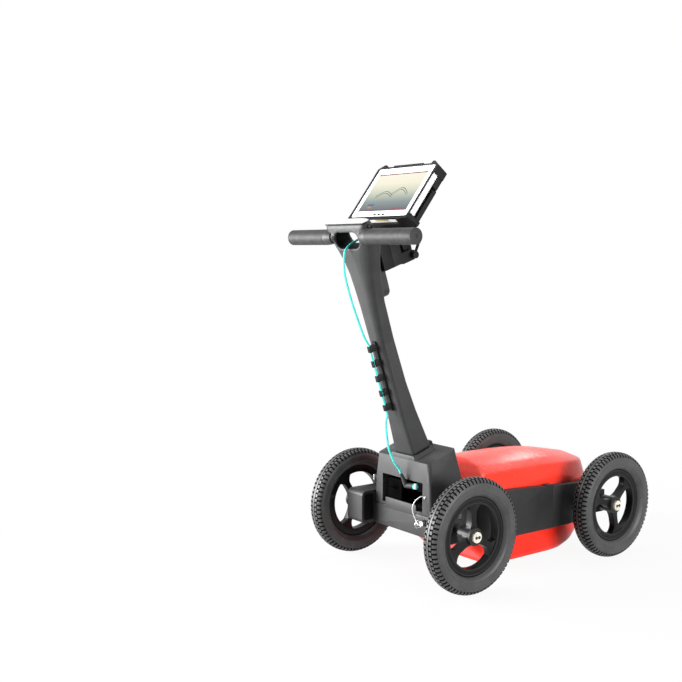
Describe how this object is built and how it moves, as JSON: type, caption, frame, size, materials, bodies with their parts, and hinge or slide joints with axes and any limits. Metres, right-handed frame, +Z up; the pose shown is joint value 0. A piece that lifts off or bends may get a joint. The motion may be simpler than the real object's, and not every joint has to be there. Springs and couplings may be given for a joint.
{
  "type": "ground penetrating radar cart",
  "caption": "Compact push cart for ground radar: red antenna body slung low between knobbly wheels, black folding mast with T handle and a tilting tablet on top.",
  "frame": {"origin": "on the floor under the middle of the whole cart", "axes": "+X forward in the direction of travel, +Y to the left wheels, +Z up"},
  "size_m": [1.0113, 0.559, 1.1667],
  "materials": {
    "black_plastic": "satin moulded",
    "grip_rubber": "matte",
    "dark_plastic": "matte",
    "red_shell": "semi-gloss",
    "steel": "brushed",
    "copper": "plain",
    "board": "matte",
    "coated_wire": "smooth",
    "cable_jacket": "satin",
    "plug_grey": "matte",
    "pale_plate": "satin",
    "screen": "glossy",
    "guard_rubber": "matte",
    "tyre": "matte",
    "rim_plastic": "satin",
    "bearing_steel": "ground",
    "cream_cap": "satin"
  },
  "bodies": {
    "chassis": {"rear_beam": "black_plastic", "pylon": "black_plastic", "rail_right": "black_plastic", "rail_left": "black_plastic", "front_belt": "black_plastic", "rear_axle_right": "steel", "rear_axle_left": "steel", "front_axle_right": "steel", "front_axle_left": "steel", "antenna_tub": "red_shell", "antenna_cover": "red_shell", "transmit_plate": "copper", "receive_plate": "copper", "control_board": "board", "battery": "dark_plastic", "socket_block": "dark_plastic", "encoder_housing": "black_plastic", "encoder_sensor": "dark_plastic", "hinge_pin": "steel", "pin_lanyard": "coated_wire", "cable_lower": "cable_jacket", "cable_plug": "plug_grey"},
    "mast_unit": {"mast": "black_plastic", "head_plate": "pale_plate", "head_knob": "dark_plastic", "grip_right": "grip_rubber", "grip_left": "grip_rubber", "end_cap_right": "dark_plastic", "end_cap_left": "dark_plastic", "cable_rail": "dark_plastic", "cable_upper": "cable_jacket", "tilt_arm": "black_plastic"},
    "tablet_unit": {"dock": "dark_plastic", "tablet_shell": "pale_plate", "tablet_bezel": "pale_plate", "tablet_screen": "screen", "corner_guards": "guard_rubber"},
    "lever": {"tilt_lever": "dark_plastic"},
    "release_pin": {"lock_pin": "steel"},
    "key_left": {"button_left": "dark_plastic"},
    "key_middle": {"button_middle": "dark_plastic"},
    "key_right": {"button_right": "dark_plastic"},
    "wheel_rear_right": {"tyre_rear_right": "tyre", "rim_rear_right": "rim_plastic", "bearings_rear_right": "bearing_steel", "hub_cap_rear_right": "cream_cap"},
    "wheel_rear_left": {"tyre_rear_left": "tyre", "rim_rear_left": "rim_plastic", "bearings_rear_left": "bearing_steel", "hub_cap_rear_left": "cream_cap", "encoder_disc": "steel"},
    "wheel_front_right": {"tyre_front_right": "tyre", "rim_front_right": "rim_plastic", "bearings_front_right": "bearing_steel", "hub_cap_front_right": "cream_cap"},
    "wheel_front_left": {"tyre_front_left": "tyre", "rim_front_left": "rim_plastic", "bearings_front_left": "bearing_steel", "hub_cap_front_left": "cream_cap"}
  },
  "joints": [
    {"name": "spin_rear_right", "type": "hinge", "parent": "chassis", "child": "wheel_rear_right", "pos_m": [-0.251, -0.252, 0.16], "axis": [0, 1, 0], "continuous": true},
    {"name": "spin_rear_left", "type": "hinge", "parent": "chassis", "child": "wheel_rear_left", "pos_m": [-0.251, 0.252, 0.16], "axis": [0, 1, 0], "continuous": true},
    {"name": "spin_front_right", "type": "hinge", "parent": "chassis", "child": "wheel_front_right", "pos_m": [0.343, -0.252, 0.16], "axis": [0, 1, 0], "continuous": true},
    {"name": "spin_front_left", "type": "hinge", "parent": "chassis", "child": "wheel_front_left", "pos_m": [0.343, 0.252, 0.16], "axis": [0, 1, 0], "continuous": true},
    {"name": "mast_fold", "type": "hinge", "parent": "chassis", "child": "mast_unit", "pos_m": [-0.1967, 0, 0.37147], "axis": [0, 1, 0], "range_deg": [0, 100], "deforming": ["cable_lower"]},
    {"name": "tablet_tilt", "type": "hinge", "parent": "mast_unit", "child": "tablet_unit", "pos_m": [-0.28219, 0, 0.91174], "axis": [0, 1, 0], "range_deg": [-15, 30]},
    {"name": "lever_turn", "type": "hinge", "parent": "mast_unit", "child": "lever", "pos_m": [-0.28219, 0, 0.91174], "axis": [0, 1, 0], "range_deg": [0, 100]},
    {"name": "pin_pull", "type": "slide", "parent": "chassis", "child": "release_pin", "axis": [-1, 0, 0], "range_m": [0, 0.08], "deforming": ["pin_lanyard"]},
    {"name": "press_left", "type": "slide", "parent": "tablet_unit", "child": "key_left", "axis": [0.7955, 0, -0.606], "range_m": [0, 0.0007], "stiffness_N_per_m": 800},
    {"name": "press_middle", "type": "slide", "parent": "tablet_unit", "child": "key_middle", "axis": [0.7955, 0, -0.606], "range_m": [0, 0.0007], "stiffness_N_per_m": 800},
    {"name": "press_right", "type": "slide", "parent": "tablet_unit", "child": "key_right", "axis": [0.7955, 0, -0.606], "range_m": [0, 0.0007], "stiffness_N_per_m": 800}
  ]
}
